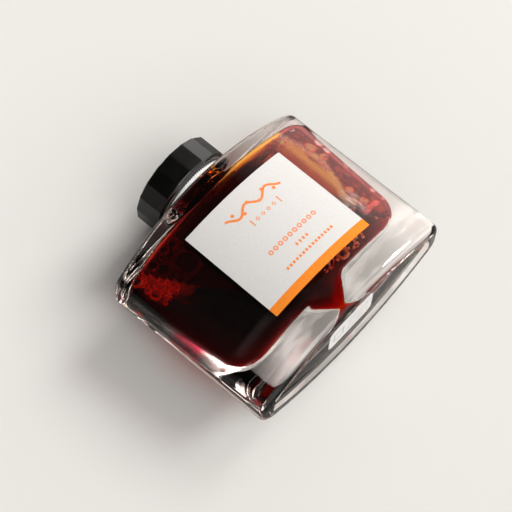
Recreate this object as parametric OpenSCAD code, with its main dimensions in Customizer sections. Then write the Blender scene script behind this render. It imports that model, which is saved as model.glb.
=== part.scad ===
// Ink bottle: heavy pressed-glass body with a lens-shaped plan, a conical pen well in its thick base,
// a screw neck with a cord tied round it, and a faceted two-part screw cap.
// The bottle stands on z = 0 with its neck on the z axis. x is its width, and the label faces -y.

/* [Body] */
// Width of the glass body
body_w = 80; // [76:1:88]
// Depth of the glass body at its middle, front to back
body_d = 32.8; // [32.8:0.2:36]
// Thickness of the body's narrow ends
end_d = 11; // [10:0.5:13]
// Radius of the upright edges at the narrow ends
corner_r = 6; // [5.5:0.1:6.4]
// Radius of the edge round the base
base_r = 2.4; // [1.5:0.1:3]
// Radius of the edge round the shoulders
shoulder_r = 2.3; // [1.5:0.1:3]
// Height of the shoulders at the narrow ends
shoulder_z = 59; // [57:0.5:62]
// Crown of the shoulders from the narrow ends to the neck
shoulder_rise = 2.2; // [1:0.1:2.4]

/* [Ink chamber] */
// Glass thickness at the narrow ends, under the shoulders
side_wall = 2.4; // [2:0.1:3.6]
// How much thicker the narrow ends are above the chamber's floor
side_lean = 2.6; // [0:0.1:3]
// Glass thickness of the front and the back
face_wall = 5.8; // [4:0.1:6]
// Glass thickness under the shoulders
shoulder_wall = 3.6; // [3:0.1:4.5]
// Height of the chamber floor above the base
floor_z = 11.4; // [10.5:0.1:13]
// Diameter of the pen well at the chamber floor
well_d = 16.6; // [12:0.2:18]
// Height of the pen well's point above the base
well_tip_z = 3.8; // [3.5:0.1:5]

/* [Base] */
// Width of the flat ring the bottle stands on
foot_w = 2.2; // [1.5:0.1:3]
// Depth of the recess inside that ring
recess_h = 1.3; // [0.8:0.1:1.6]

/* [Neck] */
// Outer diameter of the neck between its threads
neck_d = 23.6; // [23:0.2:24]
// Diameter of the neck's bore
bore_d = 18.6; // [17:0.2:19]
// Height of the neck's rim above the base
rim_z = 69.1; // [69.1:0.1:69.5]
// Rise of the thread in one turn
thread_pitch = 3.175; // [3:0.005:3.2]
// Turns of thread on the neck
thread_turns = 1.1; // [0.8:0.1:1.1]

/* [Cap] */
// Diameter of the cap across its edges
cap_d = 31.2; // [30.8:0.1:31.6]
// Flat faces round the cap
cap_faces = 18; // [16:1:24]
// Height of the cap's lower edge above the base
cap_z = 63.1; // [63.1:0.1:63.4]
// Height of the cap
cap_h = 9.2; // [9.2:0.1:9.6]

/* [Trim] */
// Width of the front label
label_w = 40.8; // [36:0.2:44]
// Height of the front label
label_h = 35.7; // [30:0.1:38]
// Lower edge of the label above the base
label_z = 14.2; // [13:0.1:17]
// Sideways offset of the label
label_x = 2; // [-2:0.5:2]
// Slope of the label in degrees
label_tilt = 0.9; // [-1:0.1:1]
// Thickness of the neck cord
cord_d = 1.5; // [1.2:0.1:1.5]

/* [Hidden] */

// Plan outline: two large arcs, one for each face, closed by rounded narrow ends.
half_w = body_w / 2;
half_d = body_d / 2;
bulge = half_d - end_d / 2;
face_r = (half_w * half_w + bulge * bulge) / (2 * bulge);
face_cy = face_r - half_d;
corner_x = half_w - corner_r;
corner_y = max(sqrt(pow(face_r - corner_r, 2) - corner_x * corner_x) - face_cy, 0);
corner_turn = atan2(corner_y + face_cy, corner_x);
arc_steps = 14;
corner_steps = 5;

// Quarter circles that round the edges of the body and of the chamber.
edge_steps = 5;
edge_turns = [for (i = [0 : edge_steps]) 90 * i / edge_steps];

// Neck, with a bead round its foot.
middle_z = shoulder_z + shoulder_rise;
neck_r = neck_d / 2;
bore_r = bore_d / 2;
bead_out = 0.7;
bead_h = 2.1;
bead_r = neck_r + bead_out;
rim_bevel = 0.4;

// Chamber: how far its rounded edges reach along x, y and z, and how the ink fills it.
chamber_low_edge = [9.5, 6, 9];
chamber_high_edge = [4, 3, 3];
well_overlap = 1;
well_slope = well_d / 2 / (floor_z - well_tip_z);
ink_gap = 0.05;
ink_drop = 1;
fill_z = shoulder_z - shoulder_wall - ink_drop;

// How far cutting shapes reach past the faces they open.
cut = 1;

// Threads: trapezoids that stand thread_h off their wall, and dive into it at both ends.
thread_h = 0.9;
thread_base = 1.7;
thread_crest = 0.5;
thread_root = 0.4;
thread_dive = 0.1;
thread_gap = 0.15;
thread_step = 10;
thread_fade = 30;
thread_drop = 4.2;
thread_z = rim_z - thread_drop;

// Insert: its thread lies between two turns of the neck's thread, nearly touching the upper one.
insert_bore_r = neck_r + thread_h + thread_gap;
insert_wall = 1;
insert_r = insert_bore_r + insert_wall;
insert_thread_lift = 0.55;
insert_thread_z = thread_z - thread_pitch / 2 + insert_thread_lift;
insert_turns = 1;
fit_gap = 0.05;

// Cap.
cap_r = cap_d / 2;
cap_top = cap_z + cap_h;
cap_roof = 1.4;
shell_bore_r = insert_r + fit_gap;
lower_bevel = [0.6, 0.8];
upper_bevel = 0.35;
face_phase = 7;
insert_inset = 0.5;
insert_z = cap_z + insert_inset;
insert_roof = 0.75;
insert_top = cap_top - cap_roof - fit_gap;
liner_gap = 0.02;
liner_z = rim_z + liner_gap;
liner_h = insert_top - insert_roof - liner_gap - liner_z;
liner_side_gap = 0.25;
liner_r = insert_bore_r - liner_side_gap;

// Trim.
paper = 0.1;
paper_gap = 0.04;
paper_steps = 720;
cord_r = cord_d / 2;
cord_gap = 0.03;
cord_lift = 0.2;
cord_steps = 32;
cord_ring_r = bead_r + cord_gap + cord_r;
cord_z = middle_z + cord_lift + cord_r;
sticker = [19.5, 11];
sticker_r = 2;
recess_lean = 0.8;

$fn = 96;

// Height of the top of the shoulders: a gentle crown across the width.
function top_z(x) = shoulder_z + shoulder_rise * (1 - pow(x / half_w, 2));

// The list of points backwards, with each point's x and y multiplied by sx and sy.
function backwards(points, sx, sy) =
    [for (i = [len(points) - 1 : -1 : 0]) [points[i][0] * sx, points[i][1] * sy]];

// Front edge of the plan from its middle to the right-hand end, pulled in by d.
function front_right(d) = concat(
    [for (i = [0 : arc_steps - 1])
        let (t = 90 - (90 - corner_turn) * i / arc_steps)
        [(face_r - d) * cos(t), face_cy - (face_r - d) * sin(t)]],
    [for (i = [0 : corner_steps])
        let (t = corner_turn * (1 - i / corner_steps))
        [corner_x + (corner_r - d) * cos(t), -corner_y - (corner_r - d) * sin(t)]]);

// Whole front edge from left to right, with one point at its middle.
function front(d) = let (q = front_right(d))
    concat([for (i = [len(q) - 1 : -1 : 1]) [-q[i][0], q[i][1]]], q);

// Whole plan outline, counter-clockwise from the left-hand end: point i lies across from point n - 1 - i.
function plan(d = 0) = let (f = front(d)) concat(f, backwards(f, 1, -1));

// Solid skin over a stack of rings. Each ring goes round counter-clockwise as seen from the last ring's side,
// and its two ends are closed by strips between points that lie across from each other.
module loft(rings) {
    n = len(rings[0]);
    last = len(rings) - 1;
    sides = [for (i = [0 : last - 1])
        for (j = [0 : n - 1])
            let (a = n * i + j, b = n * i + (j + 1) % n)
            for (f = [[a, a + n, b], [b, a + n, b + n]]) f];
    first_end = [for (k = [0 : n / 2 - 2])
        for (f = [[k, k + 1, n - 2 - k], [k, n - 2 - k, n - 1 - k]]) f];
    last_end = [for (f = first_end) [for (k = [2, 1, 0]) f[k] + n * last]];
    polyhedron(
        points = [for (r = rings) for (p = r) p],
        faces = concat(sides, first_end, last_end),
        convexity = 6);
}

// Outside of the glass body: rounded foot, upright walls and crowned shoulders with rounded edges.
module body_outside() {
    foot = [for (t = edge_turns)
        [for (p = plan(base_r * (1 - sin(t)))) [p[0], p[1], base_r * (1 - cos(t))]]];
    shoulders = [for (t = edge_turns)
        [for (p = plan(shoulder_r * (1 - cos(t)))) [p[0], p[1], top_z(p[0]) - shoulder_r * (1 - sin(t))]]];
    loft(concat(foot, shoulders));
}

// Plan of the chamber, pulled in by dx and dy beyond the glass thickness and the gap.
function chamber_plan(dx, dy, gap) = let (
    sx = (half_w - side_wall - gap - dx) / half_w,
    sy = (half_d - face_wall - gap - dy) / half_d)
    [for (p = plan()) [p[0] * sx, p[1] * sy]];

// The space for the ink: rounded floor, ends that lean outwards, and a roof that follows the shoulders.
module chamber_space(gap = 0) {
    low = [for (t = edge_turns)
        let (in = 1 - sin(t),
             dx = side_lean + chamber_low_edge[0] * in,
             dy = chamber_low_edge[1] * in,
             z = floor_z + gap + chamber_low_edge[2] * (1 - cos(t)))
        [for (p = chamber_plan(dx, dy, gap)) [p[0], p[1], z]]];
    high = [for (t = edge_turns)
        let (in = 1 - cos(t), drop = shoulder_wall + gap + chamber_high_edge[2] * (1 - sin(t)))
        [for (p = chamber_plan(chamber_high_edge[0] * in, chamber_high_edge[1] * in, gap))
            [p[0], p[1], top_z(p[0]) - drop]]];
    loft(concat(low, high));
}

// Conical well in the floor that lets a pen reach the last of the ink.
module pen_well(gap = 0) {
    tip = well_tip_z + gap * sqrt(1 + 1 / pow(well_slope, 2));
    top = floor_z + well_overlap;
    rotate_extrude()
        polygon([[0, tip], [well_slope * (top - tip), top], [0, top]]);
}

// Shallow recess under the base. Its sides lean in by recess_lean over its height.
module foot_recess() {
    in = base_r + foot_w;
    loft([for (z = [-cut, recess_h])
        [for (p = plan(in + recess_lean * z / recess_h)) [p[0], p[1], z]]]);
}

// Right-handed helical thread on a wall of radius wall_r: outwards if side is 1, inwards if side is -1.
module thread(wall_r, side, start_z, turns) {
    last = turns * 360;
    count = round(last / thread_step);
    function profile(rise) = let (
        q = [[-thread_root, -thread_base / 2], [rise, -thread_crest / 2],
             [rise, thread_crest / 2], [-thread_root, thread_base / 2]])
        side > 0 ? backwards(q, 1, 1) : q;
    loft([for (i = [0 : count])
        let (t = i * last / count,
             share = min(1, t / thread_fade, (last - t) / thread_fade),
             z = start_z + thread_pitch * t / 360)
        [for (p = profile(thread_h * share - thread_dive * (1 - share)))
            [(wall_r + side * p[0]) * cos(t), (wall_r + side * p[0]) * sin(t), z + p[1]]]]);
}

// Outside of the neck from the shoulders up, without its thread.
module neck_outside() {
    rotate_extrude()
        polygon([
            [0, shoulder_z],
            [bead_r, shoulder_z],
            [bead_r, middle_z + bead_h],
            [neck_r, middle_z + bead_h],
            [neck_r, rim_z - rim_bevel],
            [neck_r - rim_bevel, rim_z],
            [0, rim_z]]);
}

// Glass body with its screw neck.
module glass_bottle() {
    color([0.86, 0.89, 0.88, 0.45])
        difference() {
            union() {
                body_outside();
                neck_outside();
                thread(neck_r, 1, thread_z, thread_turns);
            }
            chamber_space();
            pen_well();
            translate([0, 0, shoulder_z - shoulder_wall])
                cylinder(h = rim_z, r = bore_r);
            foot_recess();
        }
}

// Ink that fills the chamber to just under its shoulders.
module ink() {
    color("darkred")
        intersection() {
            union() {
                chamber_space(ink_gap);
                pen_well(ink_gap);
            }
            translate([-half_w, -half_d, 0]) cube([body_w, body_d, fill_z]);
        }
}

// Paper label that follows the curve of the front.
module front_label() {
    color("whitesmoke")
        intersection() {
            translate([0, face_cy, 0])
                difference() {
                    cylinder(h = shoulder_z, r = face_r + paper_gap + paper, $fn = paper_steps);
                    translate([0, 0, -cut])
                        cylinder(h = shoulder_z + 2 * cut, r = face_r + paper_gap, $fn = paper_steps);
                }
            translate([label_x, -half_d, label_z + label_h / 2])
                rotate([0, label_tilt, 0])
                    cube([label_w, body_d / 2, label_h], center = true);
        }
}

// Small paper sticker on the ceiling of the recess under the base.
module base_sticker() {
    corner = sticker / 2 - [sticker_r, sticker_r];
    color("white")
        translate([0, 0, recess_h - paper - paper_gap])
            linear_extrude(paper) {
                square([sticker[0] - 2 * sticker_r, sticker[1]], center = true);
                square([sticker[0], sticker[1] - 2 * sticker_r], center = true);
                for (x = [-1, 1], y = [-1, 1])
                    translate([x * corner[0], y * corner[1]])
                        circle(r = sticker_r);
            }
}

// Twisted cord tied round the neck, between the shoulders and the cap.
module neck_cord() {
    color("gainsboro")
        translate([0, 0, cord_z])
            rotate_extrude()
                translate([cord_ring_r, 0])
                    circle(r = cord_r, $fn = cord_steps);
}

// Faceted outer shell of the cap.
module cap_shell() {
    color([0.07, 0.07, 0.07])
        difference() {
            intersection() {
                translate([0, 0, cap_z])
                    linear_extrude(cap_h)
                        polygon([for (i = [0 : cap_faces - 1])
                            let (t = face_phase + 360 * i / cap_faces)
                            [cap_r * cos(t), cap_r * sin(t)]]);
                rotate_extrude()
                    polygon([
                        [0, cap_z],
                        [cap_r - lower_bevel[0], cap_z],
                        [cap_r, cap_z + lower_bevel[1]],
                        [cap_r, cap_top - upper_bevel],
                        [cap_r - upper_bevel, cap_top],
                        [0, cap_top]]);
            }
            translate([0, 0, cap_z - cut])
                cylinder(h = cap_h - cap_roof + cut, r = shell_bore_r);
        }
}

// Threaded insert held inside the shell.
module cap_insert() {
    color("dimgray")
        union() {
            difference() {
                translate([0, 0, insert_z])
                    cylinder(h = insert_top - insert_z, r = insert_r);
                translate([0, 0, insert_z - cut])
                    cylinder(h = insert_top - insert_roof - insert_z + cut, r = insert_bore_r);
            }
            thread(insert_bore_r, -1, insert_thread_z, insert_turns);
        }
}

// Soft disc that seals the neck's rim.
module cap_liner() {
    color("ivory")
        translate([0, 0, liner_z])
            cylinder(h = liner_h, r = liner_r);
}

glass_bottle();
ink();
front_label();
base_sticker();
neck_cord();
cap_shell();
cap_insert();
cap_liner();
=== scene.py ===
"""Looks for the ink bottle: smooth glass, ink with its bubbles, printed label, twisted cord and cap.

Lengths are in metres, with x across the bottle, y from its front to its back and z up its neck.
"""

import math
import random

import bmesh
import bpy
from mathutils import Matrix, Quaternion, Vector
from mathutils.bvhtree import BVHTree


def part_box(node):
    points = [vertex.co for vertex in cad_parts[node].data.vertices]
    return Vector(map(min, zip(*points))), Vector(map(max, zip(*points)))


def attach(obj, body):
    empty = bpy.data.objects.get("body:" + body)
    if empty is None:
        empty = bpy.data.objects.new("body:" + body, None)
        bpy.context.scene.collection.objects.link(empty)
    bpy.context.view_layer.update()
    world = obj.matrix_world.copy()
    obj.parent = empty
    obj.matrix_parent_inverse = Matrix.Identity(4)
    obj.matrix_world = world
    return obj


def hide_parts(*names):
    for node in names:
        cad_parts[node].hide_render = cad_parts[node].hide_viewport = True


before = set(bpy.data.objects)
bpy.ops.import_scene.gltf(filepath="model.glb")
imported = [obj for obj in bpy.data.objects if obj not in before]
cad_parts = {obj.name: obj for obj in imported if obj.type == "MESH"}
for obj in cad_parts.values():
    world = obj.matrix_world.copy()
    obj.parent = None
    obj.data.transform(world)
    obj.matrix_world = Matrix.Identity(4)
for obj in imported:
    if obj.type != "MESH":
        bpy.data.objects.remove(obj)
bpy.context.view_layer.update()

MM = 0.001
TAU = 2 * math.pi

# ---- Places and sizes, in metres, taken from the frame ----
glass_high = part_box("glass_bottle")[1]
label_low, label_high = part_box("front_label")
sticker_low, sticker_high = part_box("base_sticker")
cord_low, cord_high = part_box("neck_cord")
shell_low, shell_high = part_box("cap_shell")
insert_low, insert_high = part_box("cap_insert")
liner_low, liner_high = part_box("cap_liner")

HALF_W = glass_high.x
HALF_D = glass_high.y
RIM_Z = glass_high.z

# Plan of the glass: thickness of its narrow ends, radius of its upright edges
END_D = 11 * MM
CORNER_R = 6 * MM
# Base, shoulders and walls. FOOT_W is the ring it stands on; PAPER_GAP lies between glass and paper.
# The side walls are SIDE_WALL thick under the shoulders and thicker by SIDE_LEAN at the floor.
BASE_R = 2.4 * MM
FOOT_W = 2.2 * MM
PAPER_GAP = 0.04 * MM
RECESS_H = sticker_high.z + PAPER_GAP
RECESS_SLOPE = 0.8 * MM
RECESS_RUN = 2 * MM
RECESS_FILLETS = (0.5 * MM, 0.35 * MM)
SHOULDER_Z = 59 * MM
SHOULDER_RISE = 2.2 * MM
SHOULDER_R = 2.3 * MM
SIDE_WALL = 2.4 * MM
SIDE_LEAN = 2.6 * MM
FACE_WALL = 5.8 * MM
SHOULDER_WALL = 3.6 * MM
# Chamber and pen well. An edge is rounded by so much across the width, the depth and the height.
LOW_EDGE = (9.5 * MM, 6 * MM, 9 * MM)
HIGH_EDGE = (4 * MM, 3 * MM, 3 * MM)
FLOOR_Z = 11.4 * MM
# How much closer the rings of the floor lie towards its middle
FLOOR_CROWDING = 1.3
WELL_R = 8.3 * MM
WELL_TIP_Z = 3.8 * MM
WELL_SOFTNESS = 1.3 * MM
WELL_BLUNT = 0.25 * MM
# Neck, the bead at its foot and its thread
NECK_R = 11.8 * MM
NECK_FILLET = 0.8 * MM
BEAD_R = 12.5 * MM
BEAD_H = 2.1 * MM
BEAD_TOP = SHOULDER_Z + SHOULDER_RISE + BEAD_H
BEAD_EDGE = 0.3 * MM
BEAD_FILLETS = (0.25 * MM, 0.1 * MM)
RIM_EDGE = 0.7 * MM
RIM_FILLETS = (0.6 * MM, 0.6 * MM)
BORE_R = 9.3 * MM
BORE_FILLET = 1.6 * MM
PITCH = 3.175 * MM
THREAD_H = 0.9 * MM
THREAD_BASE = 1.7 * MM
THREAD_CREST = 0.5 * MM
THREAD_TURNS = 1.1
THREAD_FADE = math.radians(30)
THREAD_Z = RIM_Z - 4.2 * MM
THREAD_GAP = 0.15 * MM
INSERT_BORE_R = NECK_R + THREAD_H + THREAD_GAP
# Radii closer to NECK_R than half of this carry the thread
THREADLESS = 0.02 * MM

# ---- Mesh helpers ----


def lerp(a, b, t):
    return a + (b - a) * t


def heading(angle):
    """Unit vector at an angle on the plan."""
    return Vector((math.cos(angle), math.sin(angle)))


def arc(steps, start=0.0, end=90.0):
    """Angles in radians from start to end degrees, both included."""
    return [math.radians(lerp(start, end, i / steps)) for i in range(steps + 1)]


def add_object(name, data):
    added = bpy.data.objects.new(name, data)
    bpy.context.scene.collection.objects.link(added)
    return added


def add_mesh(name, bm, materials):
    """Turns a bmesh into an object."""
    mesh = bpy.data.meshes.new(name)
    bm.to_mesh(mesh)
    bm.free()
    for material in materials:
        mesh.materials.append(material)
    return add_object(name, mesh)


def new_piece(name, bm, materials, body, node=None, smooth=True):
    """Turns a bmesh into a piece with its materials that rides on a CAD body, and hides the CAD node it
    stands in for.
    """
    bmesh.ops.recalc_face_normals(bm, faces=bm.faces)
    piece = add_mesh(name, bm, materials)
    for face in piece.data.polygons:
        face.use_smooth = smooth
    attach(piece, body)
    if node:
        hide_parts(node)
    return piece


def add_skin(bm, rings, first=None, last=None, closed=False):
    """Quads between rings of equal length. first and last are poles that close the ends; closed joins the
    last ring to the first."""
    rows = [[bm.verts.new(p) for p in ring] for ring in rings]
    count = len(rows[0])
    for low, high in zip(rows, rows[1:] + (rows[:1] if closed else [])):
        for i in range(count):
            j = (i + 1) % count
            bm.faces.new((low[i], low[j], high[j], high[i]))
    for pole, row in ((first, rows[0]), (last, rows[-1])):
        if pole is not None:
            tip = bm.verts.new(pole)
            for i in range(count):
                bm.faces.new((row[i], row[(i + 1) % count], tip))
    return rows


def sharpen(piece, degrees):
    """Keeps edges that turn by more than an angle crisp in smooth shading."""
    bm = bmesh.new()
    bm.from_mesh(piece.data)
    for edge in bm.edges:
        if len(edge.link_faces) == 2 and edge.calc_face_angle() > math.radians(degrees):
            edge.smooth = False
    bm.to_mesh(piece.data)
    bm.free()


def rounded_path(points, radii, steps=5):
    """A path through 2-D points with its inner corners rounded to the given radii."""
    points = [Vector(p) for p in points]
    path = [points[0]]
    for before, corner, after, radius in zip(points, points[1:], points[2:], radii):
        a = (before - corner).normalized()
        b = (after - corner).normalized()
        half = a.angle(b) / 2
        back = radius / math.tan(half)
        start, end = corner + a * back, corner + b * back
        middle = corner + (a + b).normalized() * (radius / math.sin(half))
        u, v = start - middle, end - middle
        turn = u.angle_signed(v)
        for i in range(steps + 1):
            path.append(middle + Matrix.Rotation(-turn * i / steps, 2) @ u)
    path.append(points[-1])
    return path


# ---- Shape of the glass: the plan outline and the surfaces built on it ----
BULGE = HALF_D - END_D / 2
FACE_R = (HALF_W**2 + BULGE**2) / (2 * BULGE)
FACE_CY = FACE_R - HALF_D
CORNER_X = HALF_W - CORNER_R
CORNER_Y = math.sqrt((FACE_R - CORNER_R) ** 2 - CORNER_X**2) - FACE_CY
CORNER_TURN = math.atan2(CORNER_Y + FACE_CY, CORNER_X)


def bend(centre, radius, start, end, steps):
    """Points and outward normals along an arc of the plan's front, at angles from start to end."""
    points = []
    for i in range(steps + 1):
        normal = heading(-lerp(start, end, i / steps))
        points.append((Vector(centre) + normal * radius, normal))
    return points


def plan_outline(face_steps=72, corner_steps=12, end_steps=4):
    """Points of the plan with their outward normals, counter-clockwise from the left end of the front."""
    front = bend((0, FACE_CY), FACE_R, math.pi - CORNER_TURN, CORNER_TURN, face_steps)
    corner = bend((CORNER_X, -CORNER_Y), CORNER_R, CORNER_TURN, 0, corner_steps)[1:]
    end_ys = [lerp(-CORNER_Y, CORNER_Y, i / end_steps) for i in range(1, end_steps)]
    end = [(Vector((HALF_W, y)), Vector((1, 0))) for y in end_ys]
    back_corner = [(Vector((p.x, -p.y)), Vector((n.x, -n.y))) for p, n in reversed(corner)]
    half = front + corner + end + back_corner
    return half + [(-p, -n) for p, n in half]


OUTLINE = plan_outline()
# Directions of the same points once the plan is stretched to a circle, so that round rings line up with it
ROUND = [Vector((p.x / HALF_W, p.y / HALF_D)).normalized() for p, n in OUTLINE]


def plan(inset=0.0):
    """The plan, drawn in by an even inset."""
    return [p - n * inset for p, n in OUTLINE]


def spokes(count):
    """Evenly spread directions on the plan."""
    return [heading(TAU * i / count) for i in range(count)]


def circle(radius):
    """As many points on a circle as the plan has."""
    return [d * radius for d in ROUND]


def top_z(x):
    """Top of the shoulders: a gentle crown across the width."""
    return SHOULDER_Z + SHOULDER_RISE * (1 - (x / HALF_W) ** 2)


def chamber_plan(dx=0.0, dy=0.0, gap=0.0):
    """The chamber's plan, drawn in by a gap and by so much more across its width and its depth."""
    sx = (HALF_W - SIDE_WALL - gap - dx) / HALF_W
    sy = (HALF_D - FACE_WALL - gap - dy) / HALF_D
    return [Vector((p.x * sx, p.y * sy)) for p, _ in OUTLINE]


def soft_min(a, b, softness):
    """The smaller of a and b, blended where they are within softness of each other."""
    h = max(0.0, min(1.0, 0.5 + 0.5 * (b - a) / softness))
    return lerp(b, a, h) - softness * h * (1 - h)


def well_z(p):
    """Height of the pen well's cone, with its slightly blunt tip, at a plan point."""
    r = math.hypot(p.x, p.y, WELL_BLUNT)
    return WELL_TIP_Z + (FLOOR_Z - WELL_TIP_Z) * r / WELL_R


def floor_height(p, z, gap):
    """The floor at height z, or the pen well where that is lower."""
    return soft_min(z, well_z(p) + gap, WELL_SOFTNESS)


def flat(points, z):
    return [Vector((p.x, p.y, z)) for p in points]


def between(a, b, t):
    return [lerp(p, q, t) for p, q in zip(a, b)]


def thread_rise(angle, z, start_z, turns):
    """How far a helical thread stands off its wall at a direction and height, as a share of its height."""
    last = turns * TAU
    k = round(((z - start_z) / PITCH * TAU - angle) / TAU)
    best = 0.0
    for lap in (k - 1, k, k + 1):
        along = angle + lap * TAU
        if not 0 <= along <= last:
            continue
        off = abs(z - start_z - PITCH * along / TAU)
        slope = (THREAD_BASE / 2 - off) / ((THREAD_BASE - THREAD_CREST) / 2)
        fade = min(1.0, along / THREAD_FADE, (last - along) / THREAD_FADE)
        t = max(0.0, min(1.0, slope)) * max(0.0, fade)
        best = max(best, t * t * (3 - 2 * t))
    return best


def neck_ring(radius, z):
    """A ring round the neck, with the thread's rise on it where its radius is the neck's own."""
    ring = []
    for d in ROUND:
        r = radius
        if abs(radius - NECK_R) < THREADLESS / 2:
            r += THREAD_H * thread_rise(math.atan2(d.y, d.x) % TAU, z, THREAD_Z, THREAD_TURNS)
        ring.append(Vector((d.x * r, d.y * r, z)))
    return ring


def foot_rings():
    """Recess under the base, the ring the bottle stands on and the rounded edge up to the wall."""
    edge = BASE_R + FOOT_W
    recess = edge + RECESS_RUN
    slope = [(recess, RECESS_H), (edge + RECESS_SLOPE, RECESS_H), (edge, 0), (BASE_R * 0.9, 0)]
    path = rounded_path(slope, RECESS_FILLETS)
    path += [Vector((BASE_R * (1 - math.sin(t)), BASE_R * (1 - math.cos(t)))) for t in arc(8)]
    rings = [flat([p * s for p in plan(recess)], RECESS_H) for s in (0.15, 0.4, 0.7, 0.9)]
    return rings + [flat(plan(q.x), q.y) for q in path]


def raised(points, height):
    """Plan points, each at the height that a function gives for it."""
    return [Vector((p.x, p.y, height(p))) for p in points]


def wall_rings(steps=9):
    """Up the outer wall and over the rounded edge of the shoulders."""
    rings = []
    for i in range(1, steps):
        rings.append(raised(plan(), lambda p: lerp(BASE_R, top_z(p.x) - SHOULDER_R, i / steps)))
    for t in arc(8):
        edge = plan(SHOULDER_R * (1 - math.cos(t)))
        rings.append(raised(edge, lambda p: top_z(p.x) - SHOULDER_R * (1 - math.sin(t))))
    return rings


def shoulder_rings(steps=12):
    """From the shoulders' rounded edge in to the foot of the neck, with a small fillet there."""
    outer, inner = plan(SHOULDER_R), circle(BEAD_R + NECK_FILLET)
    rings = []
    for i in range(1, steps + 1):
        rings.append(raised(between(outer, inner, i / steps), lambda p: top_z(p.x)))
    for t in arc(5)[1:]:
        ring = circle(BEAD_R + NECK_FILLET * (1 - math.sin(t)))
        rings.append(raised(ring, lambda p: top_z(p.x) + NECK_FILLET * (1 - math.cos(t))))
    return rings


def neck_rings(rows=44):
    """Up the outside of the neck, over the rim and into the bore."""
    low = BEAD_TOP + BEAD_EDGE
    bead = [(BEAD_R, BEAD_TOP - 1 * MM), (BEAD_R, BEAD_TOP), (NECK_R, low), (NECK_R, low + BEAD_EDGE)]
    rings = [neck_ring(q.x, q.y) for q in rounded_path(bead, BEAD_FILLETS)]
    start, high = low + BEAD_EDGE + 0.05 * MM, RIM_Z - RIM_EDGE
    rings += [neck_ring(NECK_R, lerp(start, high, i / rows)) for i in range(rows + 1)]
    rim = [(NECK_R, high), (NECK_R - THREADLESS, RIM_Z), (BORE_R, RIM_Z), (BORE_R, RIM_Z - 2 * MM)]
    rings += [neck_ring(q.x - THREADLESS, q.y) for q in rounded_path(rim, RIM_FILLETS)[1:]]
    return rings


def bore_rings(gap=0.0):
    """Down the bore and round its lower edge on to the chamber's roof."""
    low = SHOULDER_Z - SHOULDER_WALL
    heights = (RIM_Z - 4 * MM, RIM_Z - 7 * MM, low + 4.5 * MM)
    rings = [flat(circle(BORE_R - THREADLESS - gap), z) for z in heights]
    for t in arc(5):
        ring = circle(BORE_R - gap + BORE_FILLET * (1 - math.cos(t)))
        rings.append(raised(ring, lambda p: top_z(p.x) - SHOULDER_WALL + BORE_FILLET * (1 - math.sin(t))))
    return rings


def chamber_rings(gap=0.0, roof_steps=8, wall_steps=48, floor_steps=30):
    """From the bore out along the roof, down the walls, and in along the floor to the tip of the pen well."""
    roof = SHOULDER_WALL + gap
    high_x, high_y, high_z = HIGH_EDGE
    low_x, low_y, low_z = LOW_EDGE
    inner, outer = circle(BORE_R + BORE_FILLET), chamber_plan(high_x, high_y, gap)
    rings = []
    for i in range(1, roof_steps + 1):
        rings.append(raised(between(inner, outer, i / roof_steps), lambda p: top_z(p.x) - roof))
    for t in reversed(arc(8)):
        ring = chamber_plan(high_x * (1 - math.cos(t)), high_y * (1 - math.cos(t)), gap)
        rings.append(raised(ring, lambda p: top_z(p.x) - roof - high_z * (1 - math.sin(t))))
    wall_low = FLOOR_Z + gap + low_z
    for i in range(1, wall_steps):
        ring = chamber_plan(SIDE_LEAN * i / wall_steps, 0, gap)
        rings.append(raised(ring, lambda p: lerp(top_z(p.x) - roof - high_z, wall_low, i / wall_steps)))
    for t in reversed(arc(20)):
        ring = chamber_plan(SIDE_LEAN + low_x * (1 - math.sin(t)), low_y * (1 - math.sin(t)), gap)
        z = FLOOR_Z + gap + low_z * (1 - math.cos(t))
        rings.append(raised(ring, lambda p: floor_height(p, z, gap)))
    floor = chamber_plan(SIDE_LEAN + low_x, low_y, gap)
    for i in range(1, floor_steps):
        ring = [p * (1 - i / floor_steps) ** FLOOR_CROWDING for p in floor]
        rings.append(raised(ring, lambda p: floor_height(p, FLOOR_Z + gap, gap)))
    return rings, Vector((0, 0, floor_height(Vector((0, 0)), FLOOR_Z + gap, gap)))


# ---- Material helpers ----


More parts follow.
